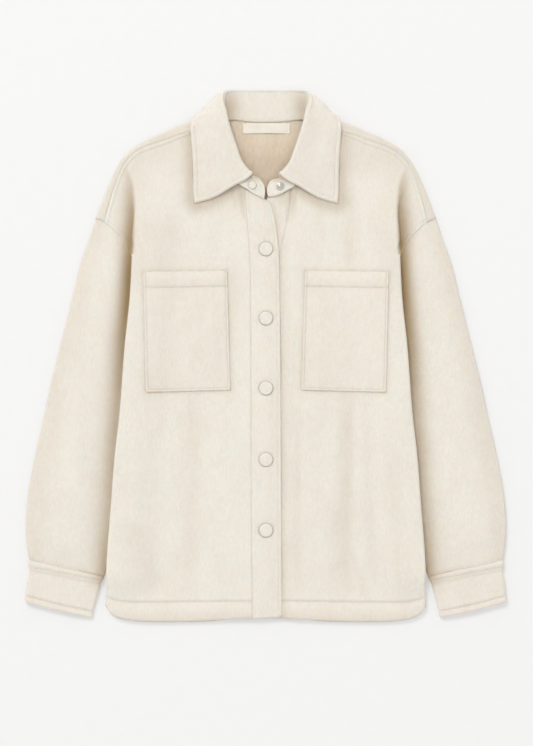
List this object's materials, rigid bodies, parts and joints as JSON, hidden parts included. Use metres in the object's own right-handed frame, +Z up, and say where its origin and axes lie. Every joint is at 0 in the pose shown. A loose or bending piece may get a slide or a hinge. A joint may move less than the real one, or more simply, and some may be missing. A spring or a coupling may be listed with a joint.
{
  "type": "shacket",
  "caption": "Button-front overshirt laid flat, with a turned-down collar, patch pockets, snap placket and cuffed sleeves.",
  "frame": {"origin": "centre of the garment's box at the surface it lies on", "axes": "+Z up from the surface, +Y from the hem to the collar, +X to the viewer's right, which is the wearer's left"},
  "size_m": [0.676, 0.7464, 0.0234],
  "materials": {
    "cloth": "soft brushed nap, cream",
    "snap_cap": "matte enamel, cream",
    "snap_metal": "bright plated",
    "label_satin": "pale satin, blank"
  },
  "bodies": {
    "root": {"back": "cloth", "front_right": "cloth", "front_left": "cloth", "placket_top": "cloth", "placket_under": "cloth", "collar_stand": "cloth", "collar_fall": "cloth", "pocket_right": "cloth", "pocket_left": "cloth", "sleeve_right": "cloth", "sleeve_left": "cloth", "cuff_right": "cloth", "cuff_left": "cloth", "snap_1": "snap_cap", "snap_2": "snap_cap", "snap_3": "snap_cap", "snap_4": "snap_cap", "snap_5": "snap_cap", "snap_stand": "snap_cap", "stud_stand": "snap_metal", "neck_label": "label_satin"}
  },
  "joints": []
}
